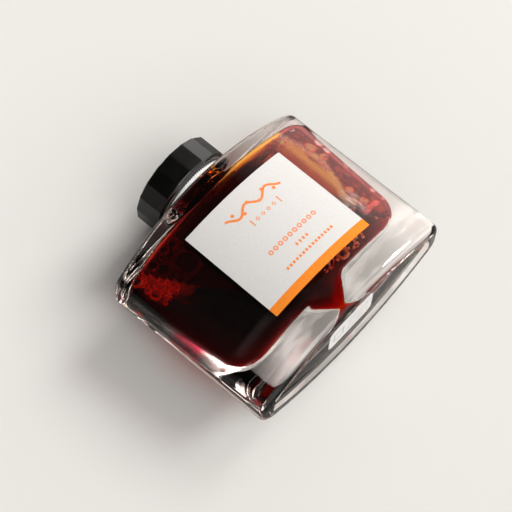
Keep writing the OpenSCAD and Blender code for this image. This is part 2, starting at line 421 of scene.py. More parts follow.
class Nodes:
    """A short way to build a node tree: methods add nodes and take values or sockets as their inputs."""

    def __init__(self, owner, output):
        owner.use_nodes = True
        self.owner = owner
        self.tree = owner.node_tree
        self.tree.nodes.clear()
        self.output = self.tree.nodes.new("ShaderNodeOutput" + output)

    def add(self, kind, inputs=None, **settings):
        node = self.tree.nodes.new("ShaderNode" + kind)
        for key, value in settings.items():
            setattr(node, key, value)
        for key, value in (inputs or {}).items():
            if isinstance(value, bpy.types.NodeSocket):
                self.tree.links.new(value, node.inputs[key])
            else:
                node.inputs[key].default_value = value
        return node

    def out(self, kind, inputs=None, **settings):
        """The first output of a new node."""
        return self.add(kind, inputs, **settings).outputs[0]

    def math(self, operation, a, b=0.0, c=0.0, clamp=False):
        return self.out("Math", {0: a, 1: b, 2: c}, operation=operation, use_clamp=clamp)

    def times(self, *factors):
        product = factors[0]
        for factor in factors[1:]:
            product = self.math("MULTIPLY", product, factor)
        return product

    def minus(self, a, b):
        return self.math("SUBTRACT", a, b)

    def length(self, a, b):
        return self.math("SQRT", self.math("ADD", self.times(a, a), self.times(b, b)))

    def ease(self, value, low, high, start=0.0, end=1.0):
        """An even run from start at low to end at high, and level outside. low may be the larger."""
        return self.out("MapRange", {0: value, 1: low, 2: high, 3: start, 4: end})

    def window(self, value, low, high, soft):
        """1 between low and high, with soft ends."""
        rise = self.ease(value, low - soft, low + soft)
        return self.times(rise, self.ease(value, high + soft, high - soft))

    def mix(self, factor, a, b, blend="MIX"):
        node = self.add("Mix", {0: factor, 6: a, 7: b}, data_type="RGBA", blend_type=blend)
        return node.outputs[2]

    def multiply(self, a, b):
        return self.mix(1.0, a, b, "MULTIPLY")

    def split(self, vector):
        parts = self.add("SeparateXYZ", {0: vector})
        return parts.outputs[0], parts.outputs[1], parts.outputs[2]

    def place(self):
        """Object-space position, in metres, as x, y and z sockets."""
        return self.split(self.add("TexCoord").outputs["Object"])

    def noise(self, scale, detail=3.0, roughness=0.5, vector=None):
        coords = vector or self.add("TexCoord").outputs["Object"]
        inputs = {"Vector": coords, "Scale": scale, "Detail": detail, "Roughness": roughness}
        return self.out("TexNoise", inputs)

    def stretched_noise(self, x, z, scale_x, scale_z):
        """Noise on the x and z plane with a scale of its own each way."""
        vector = self.out("CombineXYZ", {0: self.times(x, scale_x), 2: self.times(z, scale_z)})
        return self.noise(1.0, vector=vector)

    def ramp(self, factor, stops):
        node = self.add("ValToRGB", {0: factor})
        ramp = node.color_ramp
        while len(ramp.elements) < len(stops):
            ramp.elements.new(1.0)
        for element, (position, colour) in zip(ramp.elements, stops):
            element.position = position
            element.color = (*colour, 1.0)
        return node.outputs[0]

    def mottle(self, scale, dark, light, low=0.3, high=0.7):
        """Noise between two colours."""
        return self.ramp(self.noise(scale), [(low, dark), (high, light)])

    def bump(self, height, strength, distance):
        return self.out("Bump", {"Height": height, "Strength": strength, "Distance": distance})

    def ray(self, kind):
        """1 for rays of a kind, such as Camera or Shadow; else 0."""
        return self.add("LightPath").outputs["Is " + kind + " Ray"]

    def mirrored(self):
        """1 for light seen in a reflection, and not through glass; else 0."""
        return self.math("SUBTRACT", self.ray("Glossy"), self.ray("Transmission"), clamp=True)

    def lying(self):
        """1 for a camera in front of the bottle and below its base, for which the bottle lies; else 0."""
        camera = self.out("VectorTransform", {0: (0, 0, 0)},
                          vector_type="POINT", convert_from="CAMERA", convert_to="WORLD")
        x, y, z = self.split(camera)
        return self.times(self.math("LESS_THAN", z, 0.0), self.math("LESS_THAN", y, 0.0))

    def shown(self, lying):
        """1 while the stage for the lying bottle, or the one for the standing bottle, is in use; else 0."""
        return self.lying() if lying else self.minus(1.0, self.lying())

    def blend(self, share, a, b):
        """Shader a, with a share of shader b."""
        return self.out("MixShader", {0: share, 1: a, 2: b})

    def glass(self, colour, ior, roughness=0.0, **more):
        return self.out("BsdfGlass", {"Color": colour, "IOR": ior, "Roughness": roughness, **more})

    def matt(self, colour, **more):
        return self.out("BsdfDiffuse", {"Color": colour, **more})

    def opaque(self, colour, roughness, more=None):
        """Finishes an opaque material."""
        inputs = {"Base Color": colour, "Roughness": roughness, **(more or {})}
        return self.surface(self.out("BsdfPrincipled", inputs))

    def see_through(self, shader, colour):
        """Finishes a material that only filters light from lamps, so that what is behind it isn't black."""
        clear = self.out("BsdfTransparent", {"Color": colour})
        return self.surface(self.blend(self.ray("Shadow"), shader, clear))

    def surface(self, shader):
        self.tree.links.new(shader, self.output.inputs["Surface"])
        return self.owner

    def volume(self, shader):
        self.tree.links.new(shader, self.output.inputs["Volume"])
        return self.owner


def new_material(name):
    return Nodes(bpy.data.materials.new(name), "Material")


GLASS_IOR = 1.51
INK_IOR = 1.34
WHITE = (1, 1, 1, 1)
# Tide line of the thick film inside the glass: furthest right at TIDE_Z, curving left above and below it
TIDE_X = 31.8 * MM
TIDE_Z = 44 * MM
TIDE_BEND = 0.019 / MM
# Middle, x and z, of the red froth on the front glass, its inner and outer reach, and how ragged its edge is
FROTH = (-25 * MM, 50 * MM)
FROTH_REACH = (6 * MM, 11 * MM)
FROTH_RAGGED = 22 * MM
# Middle, x and z, of the pale streaks of painted highlight and their inner and outer reach. They reach
# further up and down.
STREAKS = (26.0 * MM, 23.5 * MM)
STREAKS_REACH = (1.2 * MM, 3.4 * MM)
STREAKS_SQUASH = 0.55
# Above this height the film on the roof is bright orange
ROOF_FILM_Z = 54.6 * MM
# Small bubbles in the thick film, drawn as cells: cells per metre, and radii as shares of a cell
CELLS = 270.0
CELL_R_LOW = 0.10
CELL_R_RANGE = 0.34
# Where the films change colour, from and to, across the width
BROWN_TO_ORANGE = (25.5 * MM, 31.5 * MM)
DARK_TO_CLEAR = (14 * MM, 23 * MM)
ROOF_RED_TO_ORANGE = (0.0, 9 * MM)
# The brightest stroke on the thin film is a painted highlight: where it stands across the width, and how much
# it leans as it rises
PAINTED_HIGHLIGHT_X = 26.8 * MM
PAINTED_HIGHLIGHT_LEAN = 0.02
# Absorption of red, green and blue light per millimetre of ink
INK_ABSORPTION = (0.18, 1.6, 5.0)


def glass_material():
    """Clear pressed glass: faint waves in its surface and a very light warm tint."""
    n = new_material("clear_glass")
    waves = n.bump(n.noise(90.0, detail=2.0), 0.12, 0.4 * MM)
    shader = n.glass((0.985, 0.966, 0.956, 1), GLASS_IOR, Normal=waves)
    return n.see_through(shader, (0.87, 0.865, 0.86, 1))


def wetted_material():
    """Glass where ink touches it: clear, as the ink's own skin bends the light, with a patch of froth."""
    n = new_material("wetted_glass")
    x, y, z = n.place()
    cloud = n.noise(210.0, detail=5.0, roughness=0.65)
    ragged = n.math("MULTIPLY_ADD", cloud, FROTH_RAGGED, -FROTH_RAGGED / 2)
    far = n.math("ADD", n.length(n.minus(x, FROTH[0]), n.minus(z, FROTH[1])), ragged)
    patch = n.ease(far, FROTH_REACH[1], FROTH_REACH[0], end=0.55)
    in_front = n.math("LESS_THAN", y, 0.0)
    froth = n.matt((0.34, 0.006, 0.005, 1))
    mixed = n.blend(n.times(patch, in_front), n.out("BsdfTransparent"), froth)
    return n.see_through(mixed, WHITE)


def thick_film(n, x, z, cloud):
    """Maroon film with small pale bubbles."""
    film = n.ramp(cloud, [(0.36, (0.40, 0.045, 0.045)), (0.64, (0.54, 0.09, 0.085))])
    flat_place = n.out("CombineXYZ", {0: x, 2: z})
    cells = n.add("TexVoronoi", {"Vector": flat_place, "Scale": CELLS, "Randomness": 0.95})
    radius = n.math("MULTIPLY_ADD", n.split(cells.outputs["Color"])[0], CELL_R_RANGE, CELL_R_LOW)
    outside = n.minus(cells.outputs["Distance"], radius)
    middle = n.ease(outside, 0.0, -0.06)
    rim = n.ease(n.math("ABSOLUTE", outside), 0.07, 0.02)
    film = n.mix(n.times(middle, 0.8), film, (0.95, 0.66, 0.62, 1))
    return n.mix(rim, film, (1.0, 0.26, 0.22, 1))


def thin_film(n, x, z, cloud, past_tide):
    """Film that is dark over the ink, then brown, with one bright stroke of painted highlight, and pale along
    the tide line.
    """
    film = n.ramp(cloud, [(0.36, (0.74, 0.34, 0.22)), (0.5, (0.94, 0.60, 0.34)), (0.64, (0.80, 0.40, 0.33))])
    ragged_x = n.math("MULTIPLY_ADD", cloud, 3 * MM, x)
    film = n.mix(n.ease(ragged_x, *BROWN_TO_ORANGE), (0.56, 0.10, 0.04, 1), film)
    # Painted highlight: one bright stroke on the film
    stroke_x = n.math("MULTIPLY_ADD", z, PAINTED_HIGHLIGHT_LEAN, PAINTED_HIGHLIGHT_X)
    stroke = n.ease(n.math("ABSOLUTE", n.minus(x, stroke_x)), 1.8 * MM, 0.3 * MM)
    film = n.mix(stroke, film, (1.0, 0.74, 0.42, 1))
    pale_edge = n.ease(past_tide, -2.6 * MM, -1.2 * MM)
    film = n.mix(n.times(pale_edge, 0.8), film, (1.0, 0.86, 0.80, 1))
    return n.mix(n.ease(x, *DARK_TO_CLEAR), (0.30, 0.025, 0.02, 1), film)


def painted_highlight_streaks(n, x, z):
    """Share of painted highlight: pale upright strokes within a patch, standing in for a glint of light on
    the film.
    """
    strokes = n.ease(n.stretched_noise(x, z, 1900.0, 260.0), 0.46, 0.60)
    far = n.length(n.minus(x, STREAKS[0]), n.times(n.minus(z, STREAKS[1]), STREAKS_SQUASH))
    patch = n.ease(far, STREAKS_REACH[1], STREAKS_REACH[0])
    return n.times(patch, strokes, 0.75)


def stained_material():
    """Inner glass above the ink: a thin orange film of it, past a curved tide line a thick maroon one, and a
    patch of painted highlight streaks.
    """
    n = new_material("stained_glass")
    x, _, z = n.place()
    cloud = n.noise(110.0, detail=5.0, roughness=0.6)
    from_middle = n.minus(z, TIDE_Z)
    tide = n.math("MULTIPLY_ADD", n.times(from_middle, from_middle), -TIDE_BEND, TIDE_X)
    ragged = n.math("MULTIPLY_ADD", cloud, 2.4 * MM, -1.2 * MM)
    past_tide = n.math("ADD", n.minus(x, tide), ragged)
    roof = n.ease(z, ROOF_FILM_Z - 0.5 * MM, ROOF_FILM_Z + 0.5 * MM)
    roof_film = n.mix(n.ease(x, *ROOF_RED_TO_ORANGE), (0.45, 0.03, 0.02, 1), (1.0, 0.50, 0.08, 1))
    film = n.mix(roof, thin_film(n, x, z, cloud, past_tide), roof_film)
    film = n.mix(n.ease(past_tide, -0.5 * MM, 0.7 * MM), film, thick_film(n, x, z, cloud))
    # Painted highlight: pale white strokes standing in for a glint of light
    highlight_paint = n.matt((0.95, 0.86, 0.80, 1))
    mixed = n.blend(painted_highlight_streaks(n, x, z), n.glass(film, GLASS_IOR), highlight_paint)
    return n.see_through(mixed, film)


def ink_material():
    """Dye ink: orange where thin, then deep red, then near black. It meets glass where at_air is 0."""
    n = new_material("red_ink")
    at_air = n.add("Attribute", attribute_name="at_air").outputs["Fac"]
    ior = n.ease(at_air, 0.0, 1.0, INK_IOR / GLASS_IOR, INK_IOR)
    n.see_through(n.glass(WHITE, ior), WHITE)
    full = INK_ABSORPTION[2]
    colour = tuple(1 - a / full for a in INK_ABSORPTION)
    return n.volume(n.out("VolumeAbsorption", {"Color": (*colour, 1), "Density": full / MM}))


clear_glass = glass_material()
wetted_glass = wetted_material()
stained_glass = stained_material()
red_ink = ink_material()

# ---- Glass and ink ----
# The ink's free surface with the bottle on its back and a little tipped. It meets the front glass on the
# left. On the right, past DIP_START, it falls away to leave only a film on the back glass. INK_SKIN is the
# gap that keeps the ink off the glass.
SURFACE_Y0 = -12.3 * MM
SURFACE_TILT = 0.115
DIP_START = 24 * MM
DIP_LEAN = 0.2
DIP_DEPTH = 100.0
INK_FILM = 0.6 * MM
INK_SKIN = 0.03 * MM
# Material slots of the glass; 0 is its clear outside
WET, STAINED = 1, 2


def settled(p):
    """Where a point of the chamber's wall goes on the ink: to the free surface if that lies behind it."""
    past = max(0.0, p.x - (DIP_START - DIP_LEAN * p.z))
    surface_y = SURFACE_Y0 + SURFACE_TILT * p.z + DIP_DEPTH * past * past
    if p.y >= 0 or surface_y <= p.y:
        return p
    return Vector((p.x, min(surface_y, -p.y - min(INK_FILM, -p.y)), p.z))


def build_glass():
    """One closed skin: up the outside, over the rim, down the bore and round the chamber to its well."""
    bm = bmesh.new()
    outside = foot_rings() + wall_rings() + shoulder_rings() + neck_rings()
    chamber, tip = chamber_rings()
    rows = add_skin(bm, outside + bore_rings() + chamber, first=Vector((0, 0, RECESS_H)), last=tip)
    inside = {v for row in rows[len(outside):] for v in row}
    for face in bm.faces:
        if inside.intersection(face.verts):
            dry = any(settled(v.co) != v.co for v in face.verts)
            face.material_index = STAINED if dry else WET
    materials = [clear_glass, wetted_glass, stained_glass]
    return new_piece("glass_body", bm, materials, "bottle", "glass_bottle")


def build_ink():
    """The bore and chamber, just inside the glass, with the front pushed back to the free surface."""
    bm = bmesh.new()
    at_air = bm.faces.layers.float.new("at_air")
    walls = bore_rings() + chamber_rings()[0]
    rings, ink_tip = chamber_rings(INK_SKIN)
    rings = bore_rings(INK_SKIN) + rings
    roof = Vector((0, 0, rings[0][0].z))
    dry = [[settled(a) != a for a in wall] for wall in walls]
    rings = [[settled(p) if is_dry else p for p, is_dry in zip(*pair)] for pair in zip(rings, dry)]
    rows = add_skin(bm, rings, first=roof, last=ink_tip)
    open_points = {v for row, marks in zip(rows, dry) for v, is_dry in zip(row, marks) if is_dry}
    top = set(rows[0])
    for face in bm.faces:
        over_bore = len(face.verts) == 3 and top.intersection(face.verts)
        face[at_air] = 1.0 if over_bore or open_points.intersection(face.verts) else 0.0
    piece = new_piece("ink_body", bm, [red_ink], "bottle", "ink")
    sharpen(piece, 30)
    return piece


# Patches of bubbles on the front glass: x and z, from and to (mm), how many, radii from and to (mm)
BUBBLE_PATCHES = [
    (30.0, 35.3, 22.0, 55.0, 60, 0.4, 1.7),
    (22.0, 35.0, 51.0, 56.0, 16, 0.3, 1.2),
    (-34.0, -17.5, 43.0, 56.5, 60, 0.5, 2.4),
    (2.0, 20.0, 12.5, 15.5, 14, 0.3, 1.1),
    (20.0, 31.0, 13.5, 22.0, 16, 0.25, 0.6),
]
# Tries for each bubble, how much commoner small ones are, and how far neighbours may run into one another
BUBBLE_TRIES = 12
BUBBLE_SKEW = 2.2
BUBBLE_PACKING = 0.94
# Thickness of a small and of a large bubble's rim, and how finely it is drawn
RIM_THIN = 0.17 * MM
RIM_THICK = 0.42 * MM
RIM_STEPS = 28
RIM_SIDES = 8
# Large bubbles: x, z and radius (mm)
LARGE_BUBBLES = [
    (-21.0, 46.5, 3.6),
    (-26.5, 50.5, 2.0),
    (33.0, 46.0, 1.7),
    (6.0, 14.2, 1.7),
    (10.5, 13.8, 1.4),
]


def foam_material():
    """Ink drawn up into the rims of bubbles: deep red on the left, pale on the right, where it is thin."""
    n = new_material("ink_foam")
    deep = n.mottle(700.0, (0.60, 0.012, 0.008), (0.95, 0.05, 0.02), 0.35, 0.65)
    pale = n.mottle(700.0, (0.80, 0.25, 0.22), (1.0, 0.60, 0.54), 0.35, 0.65)
    tone = n.mix(n.ease(n.place()[0], -15 * MM, 20 * MM), deep, pale)
    lit = n.blend(0.7, n.out("BsdfTranslucent", {"Color": tone}), n.matt(tone))
    return n.see_through(n.blend(0.75, n.glass(tone, INK_IOR, 0.05), lit), tone)


def scatter_bubbles(shuffle):
    """Places (x, z, radius) of the bubbles, packed side by side."""
    placed = [tuple(v * MM for v in bubble) for bubble in LARGE_BUBBLES]
    for x_low, x_high, z_low, z_high, count, r_low, r_high in BUBBLE_PATCHES:
        patch = []
        for _ in range(count * BUBBLE_TRIES):
            x = shuffle.uniform(x_low, x_high) * MM
            z = shuffle.uniform(z_low, z_high) * MM
            r = lerp(r_low, r_high, shuffle.random() ** BUBBLE_SKEW) * MM
            if all(math.hypot(x - a, z - b) > BUBBLE_PACKING * (r + c) for a, b, c in placed + patch):
                patch.append((x, z, r))
            if len(patch) == count:
                break
        placed += patch
    return placed


def bubble_rim(middle, inward, radius, shuffle):
    """Rings of points round the uneven rim of one bubble that clings to a wall."""
    across = inward.cross(Vector((0, 0, 1))).normalized()
    upward = across.cross(inward)
    tube = lerp(RIM_THIN, RIM_THICK, min(1.0, radius / (2 * MM))) * shuffle.uniform(0.8, 1.3)
    middle = middle + inward * (1.7 * tube + INK_SKIN)
    wobble = shuffle.uniform(0.02, 0.13)
    phase = shuffle.uniform(0, TAU)
    rings = []
    for i in range(RIM_STEPS):
        a = TAU * i / RIM_STEPS
        out = across * math.cos(a) + upward * math.sin(a)
        here = radius * (1 + wobble * math.sin(2 * a + phase) + 0.4 * wobble * math.sin(3 * a - phase))
        thick = tube * (1 + 0.6 * math.sin(a + phase))
        centre = middle + out * here
        angles = [TAU * k / RIM_SIDES for k in range(RIM_SIDES)]
        rings.append([centre + (out * math.cos(b) + inward * math.sin(b)) * thick for b in angles])
    return rings


def build_bubbles():
    """Rims of bubbles on the inside of the front glass."""
    shuffle = random.Random(7)
    chamber = bmesh.new()
    add_skin(chamber, chamber_rings()[0])
    chamber.normal_update()
    walls = BVHTree.FromBMesh(chamber)
    chamber.free()
    bm = bmesh.new()
    for x, z, radius in scatter_bubbles(shuffle):
        hit, normal = walls.ray_cast(Vector((x, 0, z)), Vector((0, -1, 0)))[:2]
        if hit is not None:
            inward = normal if normal.y > 0 else -normal
            add_skin(bm, bubble_rim(hit, inward, radius, shuffle), closed=True)
    return new_piece("ink_bubbles", bm, [foam_material()], "bottle")


build_glass()
build_ink()
build_bubbles()

# ---- Label: curved paper with generic ornaments in the place of print ----
LABEL_W = 40.8 * MM
LABEL_H = 35.7 * MM
LABEL_X = 2 * MM
LABEL_Z = (label_low.z + label_high.z) / 2
LABEL_TILT = math.radians(0.9)
LABEL_PAPER = 0.1 * MM
# Places and sizes on the label, as shares of its width (u) and height (v), and how soft the print's edge is
PRINT_SOFT = 0.0035
STRIPE_TOP = 0.083
WAVE_U = (0.27, 0.80)
WAVE_V = 0.815
WAVE_H = 0.032
WAVE_TURNS = 4.7
WAVE_LINE = 0.011
BEAD_PITCH = 0.1538
BEAD_STARTS = ((0.27, 0.845), (0.346, 0.785))
BEAD_SIZE = 0.014
BARS_U = (0.405, 0.685)
BARS_V = (0.645, 0.715)
BAR_HALF = 0.005
# Rows of marks: first u, last u, how many
LOZENGE_ROW = (0.43, 0.66, 4)
LOZENGE_V = 0.68
LOZENGE_LINE = (0.009, 0.017)
RING_ROW = (0.295, 0.80, 10)
RING_V = 0.395
RING_LINE = (0.009, 0.019)
DOT_ROW = (0.48, 0.62, 4)
DOT_V = 0.295
DOT_SIZE = 0.009
DASH_ROW = (0.295, 0.795, 15)
DASH_V = (0.190, 0.216)
DASH_HALF = 0.01


def label_marks(n, u, v):
    """Printed ornaments: 1 where there is ink."""

    def inside(value, low, high, soft=PRINT_SOFT):
        return n.window(value, low, high, soft)

    def cells(row):
        """Offset in u from the middle of the nearest of a row's equal cells."""
        low, high, count = row
        cell = n.out("MapRange", {0: u, 1: low, 2: high, 4: float(count)}, clamp=False)
        return n.times(n.minus(n.math("FRACT", cell), 0.5), (high - low) / count)

    def away(row, row_v, tall=1.0):
        """Distance from the middle of the nearest cell."""
        return n.length(cells(row), n.times(n.minus(v, row_v), tall * LABEL_H / LABEL_W))

    def along(row, mark):
        return n.times(mark, inside(u, row[0], row[1]))

    # A wave, drawn with a line of even width, and a bead in each of its hollows
    phase = n.times(u, TAU * WAVE_TURNS)
    slope = n.times(n.math("COSINE", phase), WAVE_H * TAU * WAVE_TURNS)
    steep = n.math("SQRT", n.math("MULTIPLY_ADD", slope, slope, 1.0))
    off = n.math("ABSOLUTE", n.minus(n.minus(v, WAVE_V), n.times(n.math("SINE", phase), WAVE_H)))
    masks = [along(WAVE_U, inside(n.math("DIVIDE", off, steep), -1.0, WAVE_LINE))]
    for low, height in BEAD_STARTS:
        beads = (low, low + 3 * BEAD_PITCH, 3)
        masks.append(along(beads, inside(away(beads, height), -1.0, BEAD_SIZE)))
    # Lozenges between two upright bars
    for bar in BARS_U:
        masks.append(n.times(inside(u, bar - BAR_HALF, bar + BAR_HALF, 0.002), inside(v, *BARS_V)))
    off_v = n.math("ABSOLUTE", n.times(n.minus(v, LOZENGE_V), 0.8))
    lozenge = n.math("ADD", n.math("ABSOLUTE", cells(LOZENGE_ROW)), off_v)
    masks.append(along(LOZENGE_ROW, inside(lozenge, *LOZENGE_LINE, 0.003)))
    # Rings, dots and dashes
    masks.append(along(RING_ROW, inside(away(RING_ROW, RING_V), *RING_LINE)))
    masks.append(along(DOT_ROW, inside(away(DOT_ROW, DOT_V, 0.6), -1.0, DOT_SIZE, 0.003)))
    dash = inside(cells(DASH_ROW), -DASH_HALF, DASH_HALF, DASH_HALF / 6)
    masks.append(along(DASH_ROW, n.times(dash, inside(v, *DASH_V))))

    marks = masks[0]
    for mask in masks[1:]:
        marks = n.math("MAXIMUM", marks, mask)
    return marks


def label_material():
    """White laid paper, an orange stripe along the foot and lines of small ornaments."""
    n = new_material("label_paper")
    u, v = n.split(n.out("UVMap", uv_map="label"))[:2]
    worn = n.ease(n.noise(1500.0), 0.35, 0.6, 0.85, 1.0)
    marks = n.times(label_marks(n, u, v), worn)
    fibres = n.noise(2600.0, detail=4.0)
    paper = n.ramp(fibres, [(0.3, (0.66, 0.645, 0.63)), (0.7, (0.73, 0.715, 0.70))])
    orange = n.mottle(1800.0, (0.90, 0.235, 0.018), (0.97, 0.29, 0.03))
    colour = n.mix(marks, paper, (0.86, 0.22, 0.03, 1))
    colour = n.mix(n.window(v, -1.0, STRIPE_TOP, 0.002), colour, orange)
    return n.opaque(colour, 0.8, {"Normal": n.bump(fibres, 0.25, 0.03 * MM), "Specular IOR Level": 0.15})


def build_label():
    """A grid of paper bent round the front: the front and back skins and the strip round their edge."""
    columns, rows = 60, 24
    bm = bmesh.new()
    uv_layer = bm.loops.layers.uv.new("label")

    def paper_point(i, j, offset):
        u, v = i / columns, j / rows
        a, b = (u - 0.5) * LABEL_W, (v - 0.5) * LABEL_H
        x = LABEL_X + a * math.cos(LABEL_TILT) + b * math.sin(LABEL_TILT)
        z = LABEL_Z - a * math.sin(LABEL_TILT) + b * math.cos(LABEL_TILT)
        r = FACE_R + offset
        return Vector((x, FACE_CY - math.sqrt(r * r - x * x), z))

    skins = []
    places = {}
    for offset in (PAPER_GAP, PAPER_GAP + LABEL_PAPER):
        skin = []
        for j in range(rows + 1):
            skin.append([bm.verts.new(paper_point(i, j, offset)) for i in range(columns + 1)])
            places.update({v: (i / columns, j / rows) for i, v in enumerate(skin[j])})
        skins.append(skin)
    for skin in skins:
        for j in range(rows):
            for i in range(columns):
                bm.faces.new((skin[j][i], skin[j][i + 1], skin[j + 1][i + 1], skin[j + 1][i]))
    edge = [(i, 0) for i in range(columns)] + [(columns, j) for j in range(rows)]
    edge += [(i, rows) for i in range(columns, 0, -1)] + [(0, j) for j in range(rows, 0, -1)]
    for (i, j), (k, m) in zip(edge, edge[1:] + edge[:1]):
        bm.faces.new((skins[0][j][i], skins[0][m][k], skins[1][m][k], skins[1][j][i]))
    for face in bm.faces:
        for loop in face.loops:
            loop[uv_layer].uv = places[loop.vert]
    paper = [label_material()]
    return new_piece("label_print", bm, paper, "bottle", "front_label", smooth=False)


# ---- Small sticker under the base ----
STICKER_CORNER = 2 * MM
# Grey rules on the right: their pitch, their left end and the margins beyond their ends
RULE_PITCH = 2.4 * MM
RULES_LEFT = -1.5 * MM
RULES_MARGIN = (2 * MM, 1.4 * MM)
# Grey square frame on the left: its middle, and half its width inside and outside its line
SQUARE_X = -5.5 * MM
SQUARE_LINE = (1.7 * MM, 2.4 * MM)


def sticker_material():
    """White paper with faint grey rules and a small square frame."""
    n = new_material("sticker_paper")
    x, y, _ = n.place()

    def within(value, low, high):
        return n.times(n.math("GREATER_THAN", value, low), n.math("LESS_THAN", value, high))

    breaks = n.ease(n.noise(900.0), 0.40, 0.46)
    lines = n.math("GREATER_THAN", n.math("SINE", n.times(y, TAU / RULE_PITCH)), 0.55)
    rules = n.times(lines, breaks, within(x, RULES_LEFT, sticker_high.x - RULES_MARGIN[0]))
    square = n.math("MAXIMUM", n.math("ABSOLUTE", n.minus(x, SQUARE_X)), n.math("ABSOLUTE", y))
    inside_y = n.math("LESS_THAN", n.math("ABSOLUTE", y), sticker_high.y - RULES_MARGIN[1])
    marks = n.times(n.math("MAXIMUM", rules, within(square, *SQUARE_LINE)), inside_y)
    paper = n.mottle(2500.0, (0.80, 0.79, 0.78), (0.86, 0.85, 0.84))
    return n.opaque(n.mix(n.times(marks, 0.55), paper, (0.25, 0.25, 0.26, 1)), 0.5)


def build_sticker():
    """A flat rectangle with rounded corners."""
    bm = bmesh.new()
    x, y = sticker_high.x - STICKER_CORNER, sticker_high.y - STICKER_CORNER
    outline = []
    for quarter, middle in enumerate(((x, y), (-x, y), (-x, -y), (x, -y))):
        for t in arc(6, 90 * quarter, 90 * quarter + 90):
            outline.append(Vector(middle) + heading(t) * STICKER_CORNER)
    low, high = [[bm.verts.new(p) for p in flat(outline, z)] for z in (sticker_low.z, sticker_high.z)]
    bm.faces.new(low)
    bm.faces.new(high)
    for i, v in enumerate(low):
        j = (i + 1) % len(low)
        bm.faces.new((v, low[j], high[j], high[i]))
    paper = [sticker_material()]
    return new_piece("sticker_print", bm, paper, "bottle", "base_sticker", smooth=False)


# ---- Twisted cord round the neck ----
CORD_R = (cord_high.z - cord_low.z) / 2
CORD_RING_R = cord_high.x - CORD_R
CORD_Z = (cord_high.z + cord_low.z) / 2
CORD_STRANDS = 3
CORD_TWISTS = 34


def cord_material():
    """Glossy silver-white thread with fine fibres. Its slight glow makes up for the shade under the cap."""
    n = new_material("silver_cord")
    fibres = n.noise(5200.0, detail=3.0)
    colour = n.ramp(fibres, [(0.3, (0.88, 0.87, 0.85)), (0.65, (0.98, 0.97, 0.95))])
    return n.opaque(colour, 0.42, {"Normal": n.bump(fibres, 0.5, 0.04 * MM), "Sheen Weight": 0.3,
                                   "Emission Color": colour, "Emission Strength": 0.22})


def build_cord():
    """Round strands laid in a helix about a ring."""
    bm = bmesh.new()
    steps, sides = CORD_TWISTS * 14, 8
    strand_r = CORD_R * 0.5
    lay_r = CORD_R - strand_r
    up = Vector((0, 0, 1))
    for strand in range(CORD_STRANDS):
        rings = []
        for i in range(steps):
            turn = TAU * i / steps
            lay = CORD_TWISTS * turn + TAU * strand / CORD_STRANDS
            out = heading(turn).to_3d()
            centre = out * (CORD_RING_R + lay_r * math.cos(lay)) + up * (CORD_Z + lay_r * math.sin(lay))
            angles = [TAU * k / sides for k in range(sides)]
            rings.append([centre + (out * math.cos(a) + up * math.sin(a)) * strand_r for a in angles])
        add_skin(bm, rings, closed=True)
    return new_piece("neck_cord_strands", bm, [cord_material()], "bottle", "neck_cord")


# ---- Cap: faceted shell, threaded insert and sealing liner ----
CAP_FACES = 18
CAP_PHASE = math.radians(7)
CAP_R = 15.6 * MM
CAP_Z = shell_low.z
CAP_TOP = shell_high.z
CAP_ROOF = 1.4 * MM
CAP_LOW_R = 15.0 * MM
CAP_LOW_H = 0.8 * MM
CAP_BEVEL = 0.35 * MM
CAP_FILLETS = (0.25 * MM, 0.12 * MM, 0.12 * MM)
FACET_EDGE = 0.12 * MM
SHELL_BORE_R = 13.9 * MM
SHELL_EASE = 0.2 * MM
# Chamfers of the insert, and how far its thread starts above the turn below the neck's
INSERT_EASE = 0.15 * MM
INSERT_THREAD_LIFT = 0.55 * MM


def cap_outline(edge_steps=4, face_steps=4):
    """Points of a regular polygon with each corner cut to a narrow rounded edge."""
    half = math.pi / CAP_FACES
    back = FACET_EDGE / math.cos(half)
    corners = [CAP_PHASE + TAU * i / CAP_FACES for i in range(CAP_FACES + 1)]
    centres = [heading(a) * (CAP_R - back) for a in corners]
    points = []
    for corner, centre, following in zip(corners, centres, centres[1:]):
        for k in range(edge_steps + 1):
            points.append(centre + heading(corner + lerp(-half, half, k / edge_steps)) * FACET_EDGE)
        out = heading(corner + half) * FACET_EDGE
        points += [lerp(centre, following, k / face_steps) + out for k in range(1, face_steps)]
    return points


def cap_material():
    """Black moulded phenolic: nearly smooth, with fine mould grain and faint handling marks."""
    n = new_material("black_plastic")
    smears = n.noise(220.0, detail=5.0)
    colour = n.ramp(smears, [(0.3, (0.0030, 0.0029, 0.0028)), (0.7, (0.0048, 0.0046, 0.0044))])
    grain = n.bump(n.noise(3500.0, detail=2.0), 0.10, 0.02 * MM)
    return n.opaque(colour, n.ease(smears, 0.35, 0.7, 0.09, 0.17), {"Normal": grain, "IOR": 1.55})


